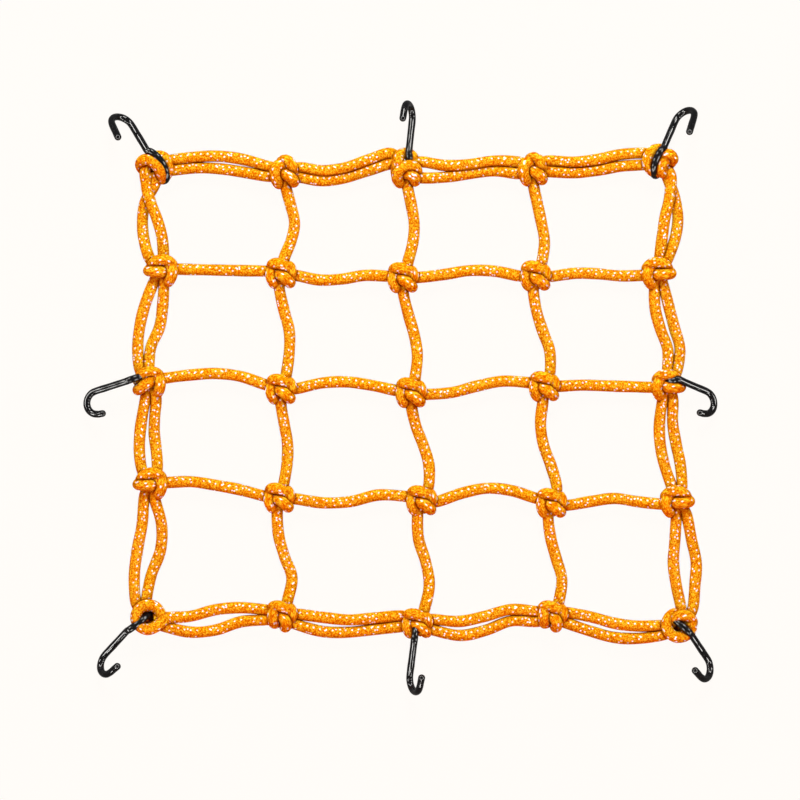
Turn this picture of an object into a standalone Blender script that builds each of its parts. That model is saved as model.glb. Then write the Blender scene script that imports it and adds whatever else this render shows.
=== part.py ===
"""Cargo net: elastic cord tied into a grid of ridged knots, with eight wire hooks at its rim.

The net lies on a surface, seen from above: +X to the right, +Y to the top edge, +Z up.
The origin is under the middle of the whole outline, on the surface. Lengths are in millimetres
in the tables, and MM turns them into metres.
"""

from math import cos, pi, radians, sin

import bmesh
import bpy
import numpy as np
from mathutils import Matrix

MM = 0.001

# The cord and the wire
CORD_RADIUS = 3.25
WIRE_RADIUS = 2.0

# Facets of the solids
PATH_PARTS = 12
STRAND_SIDES = 8
STRAND_STEP = 13.0
LOBE_SIDES = 6
LOBE_STEP = 3.6
WIRE_SIDES = 8
GRAIN = 1.0
KEPT_SHARE = 0.0385
TIP_REACH = (0.6, 0.95)
TIP_WIDTH = (0.8, 0.3)

# Heights above the surface, to the middle of the cord
KNOT_PORT_HEIGHT = 7.0
SPAN_MID_HEIGHT = 5.6
PORT_REACH = 9.0
BURIED_REACH = 3.0
BURIED_OFFSET_SHARE = 0.5
CORE_RADIUS = 4.6
CORE_HEIGHT = 7.4
CORE_HALF_HEIGHT = 5.6

# Hooks: one bent wire with an eye inside the knot, a shank and a J bend
SHANK_LENGTH = 20.0
SHANK_PLACES = (6.0, 13.0)
BEND_RADIUS = 6.7
BEND_ANGLE = 172.0
BEND_PLACES = 7
EYE_HALF_WIDTH = 5.7
EYE_FULLNESS = 0.2
EYE_OPENING = 2.2
EYE_CLOSING = 0.4
EYE_PLACES = 12
CLEARANCE = 0.5

# The block that the net keeps above the surface
BLOCK_WIDTH = 400.0
BLOCK_HEIGHT = 40.0

# Knots: name, x, y of the middle, turn in degrees, form
KNOTS = {
    "a1": (-140.0, 130.5, 0.0, "corner_top_left"),
    "a2": (-65.5, 128.0, 0.0, "top_edge"),
    "a3": (3.0, 129.5, 0.0, "top_loop"),
    "a4": (75.0, 129.5, 0.0, "top_edge"),
    "a5": (146.5, 134.0, 0.0, "corner_top_right"),
    "b1": (-135.5, 72.0, 0.0, "left_edge"),
    "b2": (-67.5, 70.5, 0.0, "cross"),
    "b3": (1.5, 68.0, 0.0, "cross"),
    "b4": (76.5, 69.0, 0.0, "cross"),
    "b5": (146.0, 70.5, 0.0, "right_edge"),
    "c1": (-142.5, 8.5, 10.0, "left_edge_slanted"),
    "c2": (-67.5, 5.0, 0.0, "cross"),
    "c3": (6.0, 3.0, 0.0, "cross"),
    "c4": (81.5, 6.5, 0.0, "cross"),
    "c5": (151.5, 7.0, -6.0, "right_edge"),
    "d1": (-141.5, -48.5, 3.0, "left_edge"),
    "d2": (-68.5, -56.5, 0.0, "cross"),
    "d3": (12.0, -58.0, 0.0, "cross"),
    "d4": (85.5, -59.5, 0.0, "cross"),
    "d5": (156.5, -58.5, 0.0, "right_edge"),
    "e1": (-142.5, -124.0, 0.0, "corner_bottom_left"),
    "e2": (-67.0, -123.0, 0.0, "bottom_edge"),
    "e3": (9.5, -127.5, 0.0, "cross"),
    "e4": (86.0, -123.0, 0.0, "bottom_edge"),
    "e5": (157.5, -128.5, 0.0, "corner_bottom_right"),
}

# Strands: from knot, to knot, then the sideways offset to the left of the straight line between
# the knots' middles where the strand leaves, at a quarter, a half and three quarters of the way
# and where it arrives, and how much higher than usual its middle lies
STRANDS = [
    # single cords down the net
    ("a2", "b2", 1.0, 4.0, 6.5, 5.0, 1.5, 0.0),
    ("a3", "b3", 1.0, 3.5, 5.5, 5.0, 2.5, 0.0),
    ("a4", "b4", 0.0, 2.0, 4.0, 5.5, 4.0, 0.0),
    ("b2", "c2", -1.0, 1.5, 4.5, 4.5, 3.0, 0.0),
    ("b3", "c3", -0.5, 1.5, 4.0, 5.0, 3.0, 0.0),
    ("b4", "c4", -2.0, -1.0, 1.5, 4.5, 4.0, 0.0),
    ("c2", "d2", 0.0, 2.0, 4.0, 4.0, 2.5, 0.0),
    ("c3", "d3", -0.5, 1.0, 4.0, 6.0, 5.0, 0.0),
    ("c4", "d4", -1.5, -3.5, -2.5, 1.0, 3.5, 0.0),
    ("d2", "e2", -1.5, -1.0, 2.0, 6.0, 3.5, 0.0),
    ("d3", "e3", -2.0, -1.0, 3.5, 6.0, 4.0, 0.0),
    ("d4", "e4", -2.0, -0.5, 2.5, 5.5, 4.0, 0.0),
    # single cords across the net
    ("b1", "b2", 1.0, 1.0, 1.0, 1.0, 1.0, 0.0),
    ("b2", "b3", -1.0, -3.0, -2.0, 0.5, 0.5, 0.0),
    ("b3", "b4", 0.0, 1.5, 3.5, 3.0, 0.0, 0.0),
    ("b4", "b5", -0.5, 1.0, 0.5, -1.0, -1.0, 0.0),
    ("c1", "c2", 3.0, 5.5, 7.0, 6.0, 2.0, 0.0),
    ("c2", "c3", 0.5, 4.0, 5.0, 3.5, 1.0, 0.0),
    ("c3", "c4", -1.5, -1.0, 2.0, 4.0, 2.5, 0.0),
    ("c4", "c5", 0.0, 0.5, 0.0, -0.5, -1.0, 0.0),
    ("d1", "d2", 1.5, 3.5, 3.0, 2.0, 0.0, 0.0),
    ("d2", "d3", -0.5, -2.5, -1.5, 2.5, 2.0, 0.0),
    ("d3", "d4", -0.5, 4.5, 7.5, 6.5, 2.5, 0.0),
    ("d4", "d5", -1.5, 0.5, 2.0, 0.0, -1.5, 0.0),
    # two cords side by side along the top edge
    ("a1", "a2", 4.0, 6.5, 7.5, 6.0, 2.5, 0.8),
    ("a1", "a2", -1.5, 0.5, 0.5, -1.0, -3.0, -0.6),
    ("a2", "a3", 2.0, 0.0, 1.5, 5.5, 9.0, 0.8),
    ("a2", "a3", -3.5, -5.5, -4.0, -0.5, 3.0, -0.6),
    ("a3", "a4", 4.0, 2.0, 2.5, 4.5, 4.0, 0.8),
    ("a3", "a4", -5.0, -4.5, -2.5, -1.0, -2.5, -0.6),
    ("a4", "a5", 4.0, 2.5, 3.0, 5.0, 5.0, 0.8),
    ("a4", "a5", -2.0, -3.5, -3.0, -1.5, -1.5, -0.6),
    # two cords side by side down the left edge
    ("a1", "b1", -4.5, -3.0, 0.0, 2.0, 2.0, 3.6),
    ("a1", "b1", 0.5, -6.0, -8.5, -8.5, -6.5, -2.0),
    ("b1", "c1", -4.0, -7.0, -8.5, -8.5, -6.5, 0.8),
    ("b1", "c1", 2.5, 3.0, 2.5, -1.0, -1.0, -0.6),
    ("c1", "d1", -2.0, -4.0, -5.5, -6.0, -5.0, 0.8),
    ("c1", "d1", 4.0, 3.0, 2.5, 3.5, 4.0, -0.6),
    ("d1", "e1", -3.5, -4.5, -7.0, -8.5, -7.5, 0.8),
    ("d1", "e1", 2.5, 6.5, 6.0, 1.0, -1.5, -0.6),
    # two cords side by side down the right edge
    ("a5", "b5", 6.6, 5.9, 3.4, 1.9, 0.6, 3.2),
    ("a5", "b5", 4.6, 8.8, 10.9, 9.5, 5.4, -1.6),
    ("b5", "c5", -3.0, -3.5, -1.5, 1.5, 0.5, 0.8),
    ("b5", "c5", 2.5, 4.5, 6.5, 8.5, 6.0, -0.6),
    ("c5", "d5", -4.0, -6.5, -7.0, -5.5, -2.5, 0.8),
    ("c5", "d5", 2.0, 1.0, 2.0, 3.5, 3.5, -0.6),
    ("d5", "e5", -0.5, -1.5, -2.5, -1.0, 1.5, 0.8),
    ("d5", "e5", 5.5, 8.0, 10.5, 9.5, 8.0, -0.6),
    # two cords side by side along the bottom edge
    ("e1", "e2", -0.5, 0.0, 3.5, 4.5, 3.0, 0.8),
    ("e1", "e2", -5.5, -9.0, -8.0, -3.5, -2.5, -0.6),
    ("e2", "e3", 1.0, 0.0, -0.5, 1.5, 3.5, 0.8),
    ("e2", "e3", -5.0, -8.0, -7.5, -5.0, -2.5, -0.6),
    ("e3", "e4", 1.5, -0.5, 1.5, 4.5, 2.5, 0.8),
    ("e3", "e4", -4.5, -8.5, -6.5, -2.0, -3.0, -0.6),
    ("e4", "e5", 2.0, 0.5, -2.0, -2.5, -1.0, 0.8),
    ("e4", "e5", -4.0, -7.5, -10.0, -9.5, -6.5, -0.6),
]

# Lobes: the turns of cord that show on a knot, one line of places for each. A place is x, y from
# the knot's middle and the height of the cord's middle. A lobe starts under another, crosses the
# front, folds round the rim and ends in the back.
BAR = [
    (-3.4, 0.0, 6.5), (-1.2, -0.8, 10.8), (1.6, -2.2, 12.5), (4.0, -4.2, 11.4),
    (5.0, -5.2, 7.6), (3.8, -4.0, 4.0), (1.0, -1.0, 2.6), (-2.6, 1.8, 2.6),
]
CAP = [
    (5.4, 0.8, 6.5), (3.4, 2.8, 10.6), (1.2, 4.2, 12.3), (-1.6, 5.4, 12.6), (-4.2, 5.2, 11.0),
    (-5.2, 4.2, 7.6), (-4.0, 3.0, 4.0), (-1.0, 0.8, 2.6), (2.4, -1.6, 2.6),
]
LEFT_ARM = [
    (0.0, 4.4, 5.5), (-2.8, 3.6, 7.6), (-4.9, 2.0, 9.2), (-5.7, -0.8, 10.2), (-5.1, -3.6, 9.8),
    (-3.8, -5.6, 7.6), (-2.4, -4.4, 5.0), (0.0, -0.5, 4.6),
]
RIGHT_ARM = [
    (0.2, -4.8, 6.2), (3.0, -2.8, 7.8), (5.0, -1.2, 9.4), (5.7, 0.8, 10.4), (5.3, 2.7, 9.9),
    (4.2, 3.9, 7.4), (2.6, 2.6, 5.0), (0.0, 0.3, 4.6),
]
LOW_BAR = [
    (-2.8, 0.8, 6.5), (-0.6, -0.4, 10.8), (1.8, -2.6, 12.5), (2.4, -5.2, 11.2),
    (1.8, -6.6, 7.6), (1.4, -4.6, 4.0), (0.4, -1.0, 2.6), (-2.6, 1.8, 2.6),
]
SHORT_LEFT_ARM = [
    (0.0, 5.0, 6.5), (-2.4, 4.0, 9.6), (-4.4, 2.4, 11.6), (-5.0, -0.4, 12.2), (-4.8, -2.8, 11.0),
    (-4.4, -4.4, 8.0), (-2.4, -3.6, 5.0), (0.0, -0.5, 4.6),
]
ARCH = [
    (3.6, -2.2, 6.5), (4.5, 0.0, 9.5), (4.0, 2.8, 12.0), (2.8, 5.0, 12.4), (0.6, 6.2, 11.6),
    (-1.5, 5.6, 8.6), (-1.8, 3.4, 5.0), (0.0, 0.4, 4.6),
]
BENT_LEFT_ARM = [
    (0.6, 3.0, 7.0), (-0.8, 3.4, 10.4), (-3.0, 3.6, 12.2), (-5.0, 1.6, 12.4), (-5.4, -1.6, 12.0),
    (-4.8, -4.6, 10.8), (-3.2, -6.8, 7.6), (-2.0, -4.8, 5.0), (0.2, -0.8, 4.6),
]
TOP_BAR = [
    (-1.8, 0.6, 6.5), (0.0, -1.0, 10.8), (2.6, -2.8, 12.5), (4.6, -4.8, 11.2),
    (5.0, -6.0, 7.6), (3.8, -4.4, 4.0), (1.0, -1.0, 2.6), (-3.6, 2.2, 3.4),
]
SIDE_CAP = [
    (5.6, 1.6, 6.5), (4.4, 3.6, 10.2), (2.0, 5.4, 12.2), (-1.6, 6.0, 12.5), (-4.8, 4.8, 11.2),
    (-6.4, 2.6, 7.6), (-4.6, 1.4, 4.0), (-1.0, 0.4, 2.6), (3.0, -0.4, 2.6),
]
SIDE_ARM = [
    (-0.8, 4.0, 6.5), (-3.8, 2.8, 9.6), (-5.9, 1.2, 11.8), (-6.5, -1.6, 12.2), (-5.4, -4.8, 10.8),
    (-3.6, -6.4, 7.6), (-2.2, -4.6, 5.0), (0.0, -0.5, 4.6),
]
SIDE_BAR = [
    (-3.6, 0.2, 6.5), (-1.6, -0.7, 11.0), (1.8, -0.9, 12.6), (5.0, -0.6, 11.8),
    (7.0, 0.0, 7.8), (5.2, 0.6, 4.2), (1.6, 0.6, 2.6), (-2.5, 0.0, 2.6),
]
FRONT_ARC = [
    (5.4, -6.2, 6.5), (5.0, -4.0, 10.4), (3.4, -0.6, 12.6), (0.6, 2.4, 13.0), (-2.6, 4.2, 12.8),
    (-5.6, 3.6, 11.4), (-7.0, 1.4, 7.8), (-5.6, -1.0, 5.0), (-2.0, -1.0, 2.6),
]
LEFT_TUCK = [
    (-3.2, -12.6, 7.1), (-3.8, -9.2, 7.1), (-4.5, -5.6, 8.0), (-4.5, -2.6, 8.8), (-3.8, 0.2, 8.4),
    (-0.8, 4.0, 5.0),
]
REAR_ARC = [
    (-0.6, 5.6, 4.6), (2.6, 6.2, 7.2), (6.0, 5.4, 8.4), (8.4, 1.8, 8.6), (8.2, -3.0, 8.4),
    (5.4, -6.4, 7.2), (1.6, -5.6, 4.4),
]
CORNER_FILL = [
    (-2.8, -4.6, 3.4), (0.0, -2.6, 3.8), (2.8, -0.6, 3.4),
]
REAR_CURL = [
    (2.4, 6.2, 5.0), (-0.8, 6.6, 8.4), (-4.6, 5.0, 10.4), (-6.8, 1.0, 11.0), (-6.0, -3.4, 10.6),
    (-2.8, -6.2, 8.6), (1.6, -5.8, 5.0),
]
FRONT_CURL = [
    (0.8, 0.6, 8.0), (3.0, 3.0, 11.8), (5.8, 3.2, 12.2), (7.4, 1.0, 9.6), (6.0, -1.4, 5.0),
]
FRONT_FOLD = [
    (4.4, 0.8, 9.0), (2.2, -0.8, 12.0), (0.8, -3.4, 12.2), (1.6, -6.6, 9.6), (2.8, -5.6, 5.0),
]
CROSSING_LOBE = [
    (-4.2, 1.4, 8.0), (-1.4, 4.4, 11.6), (2.4, 5.6, 12.8), (6.0, 4.2, 11.8), (7.4, 1.0, 8.0),
    (5.0, -1.0, 4.6),
]
LOOP_LEFT = [
    (4.6, 3.4, 5.0), (4.0, 6.6, 6.8), (1.2, 8.6, 7.6), (-2.2, 8.4, 8.8), (-4.2, 6.0, 10.6),
    (-3.6, 3.0, 11.6), (-2.2, 0.8, 11.2), (-0.6, -1.4, 8.0),
]
LOOP_COLLAR = [
    (6.2, -2.4, 6.5), (5.7, 0.0, 10.6), (2.8, 1.8, 13.0), (-1.4, 0.6, 13.4), (-4.4, -2.4, 12.6),
    (-4.8, -5.6, 10.8), (-3.0, -7.8, 7.8), (-1.0, -5.4, 4.6),
]
LOOP_BAR = [
    (-2.2, -2.6, 6.5), (0.4, -2.8, 10.6), (3.0, -3.6, 12.2), (5.0, -5.2, 11.2), (5.0, -6.8, 7.8),
    (3.0, -5.2, 4.2), (-0.6, -2.0, 2.6),
]
RIM_COIL = [
    (-5.0, -3.6, 6.0), (-5.4, -0.6, 9.4), (-4.8, 2.6, 10.0), (-5.0, 5.2, 7.0),
]
SLANTED_BAR = [
    (-4.4, 2.6, 6.5), (-2.2, 1.4, 11.2), (1.2, -0.6, 12.8), (4.4, -2.2, 11.8),
    (6.6, -2.8, 7.8), (5.0, -1.6, 4.2), (1.6, 0.2, 2.6), (-2.5, 0.0, 2.6),
]
RING_TURN = [
    (2.0, -5.6, 5.0), (5.6, -4.0, 6.4), (6.9, 0.6, 8.0), (4.4, 5.4, 9.4), (-0.4, 6.9, 10.4),
    (-5.0, 4.8, 11.0), (-6.9, 0.2, 11.4), (-5.2, -4.6, 11.7), (-0.8, -6.9, 11.8),
    (4.0, -5.6, 11.4), (7.4, -3.0, 9.8), (10.6, -1.2, 7.6), (14.5, -0.5, 6.8),
]
OPEN_TURN = [
    (5.0, 1.6, 5.0), (1.0, 6.2, 6.8), (-4.0, 5.6, 9.0), (-6.9, 1.6, 10.4), (-6.2, -3.4, 11.0),
    (-2.2, -6.6, 11.2), (2.8, -6.2, 11.2), (6.4, -2.8, 11.0), (6.4, 2.2, 10.4), (3.6, 5.4, 8.4),
]
LOW_TURN = [
    (6.0, 1.6, 3.4), (2.4, 5.6, 3.4), (-2.4, 5.6, 3.4), (-5.8, 2.0, 3.4), (-5.6, -2.6, 3.4),
    (-1.6, -6.0, 3.4), (3.4, -5.2, 3.4), (6.2, -1.0, 3.4),
]
LOW_FILL = [
    (-3.6, -1.4, 3.0), (0.0, 0.4, 3.4), (3.6, 1.4, 3.0),
]

FORMS = {
    "cross": [BAR, CAP, LEFT_ARM, RIGHT_ARM],
    "bottom_edge": [LOW_BAR, CAP, SHORT_LEFT_ARM, RIGHT_ARM],
    "top_edge": [TOP_BAR, ARCH, BENT_LEFT_ARM],
    "top_loop": [LOOP_LEFT, LOOP_COLLAR, LOOP_BAR, RIM_COIL],
    "right_edge": [SIDE_BAR, SIDE_CAP, SIDE_ARM],
    "left_edge": [SIDE_BAR, SIDE_CAP, SIDE_ARM],
    "corner_top_left": [FRONT_ARC, LEFT_TUCK, REAR_ARC, CORNER_FILL],
    "corner_top_right": [REAR_CURL, FRONT_CURL, FRONT_FOLD],
    "left_edge_slanted": [SLANTED_BAR, SIDE_CAP, SIDE_ARM],
    "corner_bottom_left": [RING_TURN, LOW_TURN, LOW_FILL],
    "corner_bottom_right": [OPEN_TURN, CROSSING_LOBE, LOW_TURN, LOW_FILL],
}
MIRRORED_FORMS = {"left_edge", "left_edge_slanted"}
OPEN_FORMS = {"corner_bottom_left", "corner_bottom_right"}

# Hooks: name, x, y of the outermost point of the bend, heading of the shank away from the net,
# side that the J returns to (1 left, -1 right of the heading), roll of the J up from level, fall
# of the shank, length of the J's free leg, then the eye: turn in plan, fall into the knot, lean of
# its top to the left of the heading, length
HOOKS = {
    "hook_top_left": (-160.6, 159.2, 122.0, 1, 48.0, 28.0, 12.0, -3.0, 16.0, -50.0, 20.0),
    "hook_top_middle": (5.0, 165.6, 84.0, 1, 68.0, 22.0, 8.2, 4.0, 74.0, -10.0, 11.0),
    "hook_top_right": (163.1, 162.8, 65.5, -1, 51.0, 28.0, 13.0, 10.0, 19.0, 30.0, 16.5),
    "hook_left_middle": (-177.4, -4.6, 197.4, 1, 14.0, 19.0, 4.5, -4.0, 44.0, -8.0, 15.0),
    "hook_right_middle": (177.5, -4.8, -22.4, -1, 22.0, 27.0, 4.5, 38.0, 72.0, 5.0, 12.5),
    "hook_bottom_left": (-169.5, -154.5, 227.0, 1, 47.0, 22.0, 8.0, -8.0, 24.0, 6.0, 17.0),
    "hook_bottom_middle": (7.4, -165.6, 263.0, 1, 62.0, 22.0, 8.0, 0.0, 50.0, 0.0, 15.0),
    "hook_bottom_right": (174.8, -157.3, 304.5, -1, 47.0, 29.0, 8.0, 20.0, 32.0, 12.0, 17.0),
}


def clear_scene():
    """Remove every object that the file starts with."""
    for old in list(bpy.data.objects):
        bpy.data.objects.remove(old, do_unlink=True)


def finish(name, color, roughness, metallic):
    """A Principled material."""
    material = bpy.data.materials.new(name)
    material.use_nodes = True
    shader = material.node_tree.nodes["Principled BSDF"]
    shader.inputs["Base Color"].default_value = (*color, 1.0)
    shader.inputs["Roughness"].default_value = roughness
    shader.inputs["Metallic"].default_value = metallic
    material.diffuse_color = (*color, 1.0)
    return material


def smooth_path(places, step):
    """Evenly spaced points, about a step apart, on a Catmull-Rom curve through the places."""
    p = np.asarray(places, float)
    padded = np.vstack([2 * p[0] - p[1], p, 2 * p[-1] - p[-2]])
    t = np.linspace(0.0, 1.0, PATH_PARTS, endpoint=False)[:, None]
    runs = []
    for a, b, c, d in zip(padded, padded[1:], padded[2:], padded[3:]):
        runs.append(
            0.5 * (2 * b + (c - a) * t + (2 * a - 5 * b + 4 * c - d) * t**2
                   + (3 * b - a - 3 * c + d) * t**3)
        )
    fine = np.vstack([*runs, p[-1:]])
    length = np.concatenate([[0.0], np.cumsum(np.linalg.norm(np.diff(fine, axis=0), axis=1))])
    count = max(2, round(length[-1] / step)) + 1
    at = np.linspace(0.0, length[-1], count)
    return np.stack([np.interp(at, length, fine[:, k]) for k in range(3)], axis=1)


def add_tube(mesh, path, radius, sides, round_end=False):
    """Add a closed tube along a path in millimetres, its frame carried along without twist."""
    ways = np.diff(path, axis=0)
    ways /= np.linalg.norm(ways, axis=1)[:, None]
    tangents = np.vstack([ways[:1], ways[:-1] + ways[1:], ways[-1:]])
    tangents /= np.linalg.norm(tangents, axis=1)[:, None]
    radii = np.full(len(path), radius)
    if round_end:
        tip = path[-1] + tangents[-1] * radius * np.array(TIP_REACH)[:, None]
        path = np.vstack([path, tip])
        tangents = np.vstack([tangents, tangents[-1], tangents[-1]])
        radii = np.append(radii, radius * np.array(TIP_WIDTH))
    side = np.cross(tangents[0], (0.0, 0.0, 1.0))
    if np.linalg.norm(side) < 0.2:
        side = np.cross(tangents[0], (1.0, 0.0, 0.0))
    rings = []
    for centre, tangent, r in zip(path, tangents, radii):
        side = side - tangent * np.dot(side, tangent)
        side /= np.linalg.norm(side)
        up = np.cross(side, tangent)
        turn = 2 * pi * (np.arange(sides) + 0.5) / sides
        around = np.outer(np.cos(turn), side) + np.outer(np.sin(turn), up)
        rings.append([mesh.verts.new((centre + r * v) * MM) for v in around])
    for low, high in zip(rings, rings[1:]):
        for k in range(sides):
            mesh.faces.new((low[k], low[k - 1], high[k - 1], high[k]))
    mesh.faces.new(rings[0])
    mesh.faces.new(list(reversed(rings[-1])))


def strand_path(start, end, leave, quarter, half, three_quarters, arrive, lift):
    """Route of one strand, from inside one knot to inside the next."""
    a = np.array(KNOTS[start][:2])
    b = np.array(KNOTS[end][:2])
    length = np.linalg.norm(b - a)
    along = (b - a) / length
    left = np.array([-along[1], along[0]])
    reach = np.array([BURIED_REACH, *np.linspace(PORT_REACH, length - PORT_REACH, 5),
                      length - BURIED_REACH])
    offset = np.array([leave * BURIED_OFFSET_SHARE, leave, quarter, half, three_quarters, arrive,
                       arrive * BURIED_OFFSET_SHARE])
    plan = a + reach[:, None] * along + offset[:, None] * left
    sag = np.sin(np.clip((reach - PORT_REACH) / (length - 2 * PORT_REACH), 0.0, 1.0) * pi)
    height = KNOT_PORT_HEIGHT + (SPAN_MID_HEIGHT - KNOT_PORT_HEIGHT + lift) * sag
    return np.column_stack([plan, height])


def knot_paths(name):
    """Routes of a knot's lobes in the net's frame."""
    x, y, turn, form = KNOTS[name]
    mirror = -1.0 if form in MIRRORED_FORMS else 1.0
    c = cos(radians(turn))
    s = sin(radians(turn))
    routes = []
    for lobe in FORMS[form]:
        route = np.array(lobe)
        u = route[:, 0] * mirror
        v = route[:, 1]
        routes.append(np.column_stack([x + c * u - s * v, y + s * u + c * v, route[:, 2]]))
    return routes


def add_core(mesh, name):
    """Fill a knot's inside with a lump, so that its turns of cord are one solid."""
    x, y, _, form = KNOTS[name]
    if form in OPEN_FORMS:
        return
    made = bmesh.ops.create_icosphere(mesh, subdivisions=1, radius=1.0)
    size = Matrix.Diagonal((CORE_RADIUS * MM, CORE_RADIUS * MM, CORE_HALF_HEIGHT * MM, 1.0))
    place = Matrix.Translation((x * MM, y * MM, CORE_HEIGHT * MM))
    bmesh.ops.transform(mesh, matrix=place @ size, verts=made["verts"])


def new_object(name, mesh, material=None):
    """Put a bmesh in the scene as a named object with outward faces."""
    bmesh.ops.recalc_face_normals(mesh, faces=mesh.faces)
    data = bpy.data.meshes.new(name)
    mesh.to_mesh(data)
    mesh.free()
    made = bpy.data.objects.new(name, data)
    bpy.context.scene.collection.objects.link(made)
    if material:
        data.materials.append(material)
    return made


def hide(helper):
    """Mark a cutter or a guide, which is no piece of the net."""
    helper.hide_render = True
    helper.display_type = "WIRE"


def hook_places(x, y, heading, side, roll, fall, leg, *eye):
    """Route of a hook's wire in millimetres, resting on the surface: eye, neck, shank, J, leg."""
    h = radians(heading)
    out = np.array([cos(h) * cos(radians(fall)), sin(h) * cos(radians(fall)), -sin(radians(fall))])
    level = side * np.array([-sin(h), cos(h), 0.0])
    lift = np.cross(out, level) * side
    turned = level * cos(radians(roll)) + lift * sin(radians(roll))
    neck = np.array([x, y, 0.0]) - out * (SHANK_LENGTH + BEND_RADIUS) - turned * BEND_RADIUS
    neck[2] = WIRE_RADIUS + sin(radians(fall)) * (SHANK_LENGTH + BEND_RADIUS)
    bend_start = neck + out * SHANK_LENGTH
    middle = bend_start + turned * BEND_RADIUS
    sweep = np.radians(np.linspace(0.0, BEND_ANGLE, BEND_PLACES))
    bend = [middle + BEND_RADIUS * (out * sin(a) - turned * cos(a)) for a in sweep]
    leg_way = out * cos(sweep[-1]) + turned * sin(sweep[-1])
    shank = [neck + out * distance for distance in SHANK_PLACES]
    legs = [bend[-1] + leg_way * (leg - WIRE_RADIUS) * share for share in (0.5, 1.0)]
    places = np.array([*eye_places(neck, h, *eye), neck, *shank, *bend, *legs])
    places[:, 2] += WIRE_RADIUS - places[:, 2].min()
    return places


def eye_places(neck, heading, turn, fall, lean, length):
    """The eye: most of a drop-shaped loop, from its free end inside the knot to the neck."""
    g = heading + pi + radians(turn)
    f = radians(fall)
    inward = np.array([cos(g) * cos(f), sin(g) * cos(f), -sin(f)])
    level = np.array([sin(g), -cos(g), 0.0])
    top = np.cross(level, inward)
    upper = top * cos(radians(lean)) + level * sin(radians(lean))
    angle = np.linspace(2 * pi - EYE_OPENING, EYE_CLOSING, EYE_PLACES)
    reach = length * (1.0 - np.cos(angle)) / 2
    width = EYE_HALF_WIDTH * np.sin(angle) * np.sin(angle / 2) ** EYE_FULLNESS
    return [neck + inward * r + upper * w for r, w in zip(reach, width)]


def melt(piece):
    """Melt a piece's overlapping cords into one skin and thin out its facets."""
    skin = piece.modifiers.new("Skin", "REMESH")
    skin.mode = "VOXEL"
    skin.voxel_size = GRAIN * MM
    thin = piece.modifiers.new("Thin", "DECIMATE")
    thin.ratio = KEPT_SHARE


def cut(piece, cutter, operation):
    """Cut a piece with a hidden helper."""
    hide(cutter)
    knife = piece.modifiers.new(cutter.name, "BOOLEAN")
    knife.operation = operation
    knife.solver = "EXACT"
    knife.use_self = True
    knife.object = cutter


def keep_largest(piece):
    """Fix a piece's shape and drop the crumbs that the cuts leave."""
    depsgraph = bpy.context.evaluated_depsgraph_get()
    mesh = bmesh.new()
    mesh.from_mesh(piece.evaluated_get(depsgraph).to_mesh())
    bodies = []
    unseen = set(mesh.verts)
    while unseen:
        body = {unseen.pop()}
        front = list(body)
        while front:
            vert = front.pop()
            near = {edge.other_vert(vert) for edge in vert.link_edges} - body
            body |= near
            front += near
        unseen -= body
        bodies.append(body)
    bodies.sort(key=len)
    crumbs = [vert for body in bodies[:-1] for vert in body]
    bmesh.ops.delete(mesh, geom=crumbs, context="VERTS")
    piece.modifiers.clear()
    mesh.to_mesh(piece.data)
    mesh.free()


def surface_block():
    """A block above the surface: what the net keeps when its underside is made flat."""
    block = bmesh.new()
    bmesh.ops.create_cube(block, size=1.0)
    size = Matrix.Diagonal((BLOCK_WIDTH * MM, BLOCK_WIDTH * MM, BLOCK_HEIGHT * MM, 1.0))
    place = Matrix.Translation((0.0, 0.0, BLOCK_HEIGHT * MM / 2))
    bmesh.ops.transform(block, matrix=place @ size, verts=block.verts)
    return new_object("above_the_surface", block)


def hook_room():
    """The hooks' wires, a little thicker: the room that the cord leaves for them."""
    mesh = bmesh.new()
    for row in HOOKS.values():
        route = hook_places(*row)
        start = route[0] - route[1]
        route[0] += start / np.linalg.norm(start) * CLEARANCE
        add_tube(mesh, route, WIRE_RADIUS + CLEARANCE, WIRE_SIDES)
    return new_object("hook_room", mesh)


def build_net(material):
    """The net: strands and knots joined in one solid, flat where it lies on the surface."""
    mesh = bmesh.new()
    for row in STRANDS:
        add_tube(mesh, smooth_path(strand_path(*row), STRAND_STEP), CORD_RADIUS, STRAND_SIDES)
    for name in KNOTS:
        for route in knot_paths(name):
            add_tube(mesh, smooth_path(route, LOBE_STEP), CORD_RADIUS, LOBE_SIDES)
        add_core(mesh, name)
    net = new_object("net", mesh, material)
    melt(net)
    cut(net, surface_block(), "INTERSECT")
    cut(net, hook_room(), "DIFFERENCE")
    keep_largest(net)


def build_hook(name, row, material):
    """One wire hook."""
    mesh = bmesh.new()
    add_tube(mesh, hook_places(*row), WIRE_RADIUS, WIRE_SIDES, round_end=True)
    return new_object(name, mesh, material)


def main():
    clear_scene()
    cord = finish("orange_cord", (0.95, 0.36, 0.02), 0.6, 0.0)
    wire = finish("black_coated_wire", (0.015, 0.015, 0.017), 0.25, 0.0)
    build_net(cord)
    for name, row in HOOKS.items():
        build_hook(name, row, wire)


main()
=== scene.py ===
# %% [markdown]
# # A cargo net
# The real thing is a flat net tied from one kind of elastic cord. Five rows of five knots carry it:
# single cords run between the inner knots, two cords run side by side round the rim, and eight
# black wire hooks are tied into the rim's knots. It lies on a pale surface and is seen from
# straight above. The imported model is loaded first, because every piece must lie where it says.

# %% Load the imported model
from math import cos, pi, radians, sin

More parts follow.
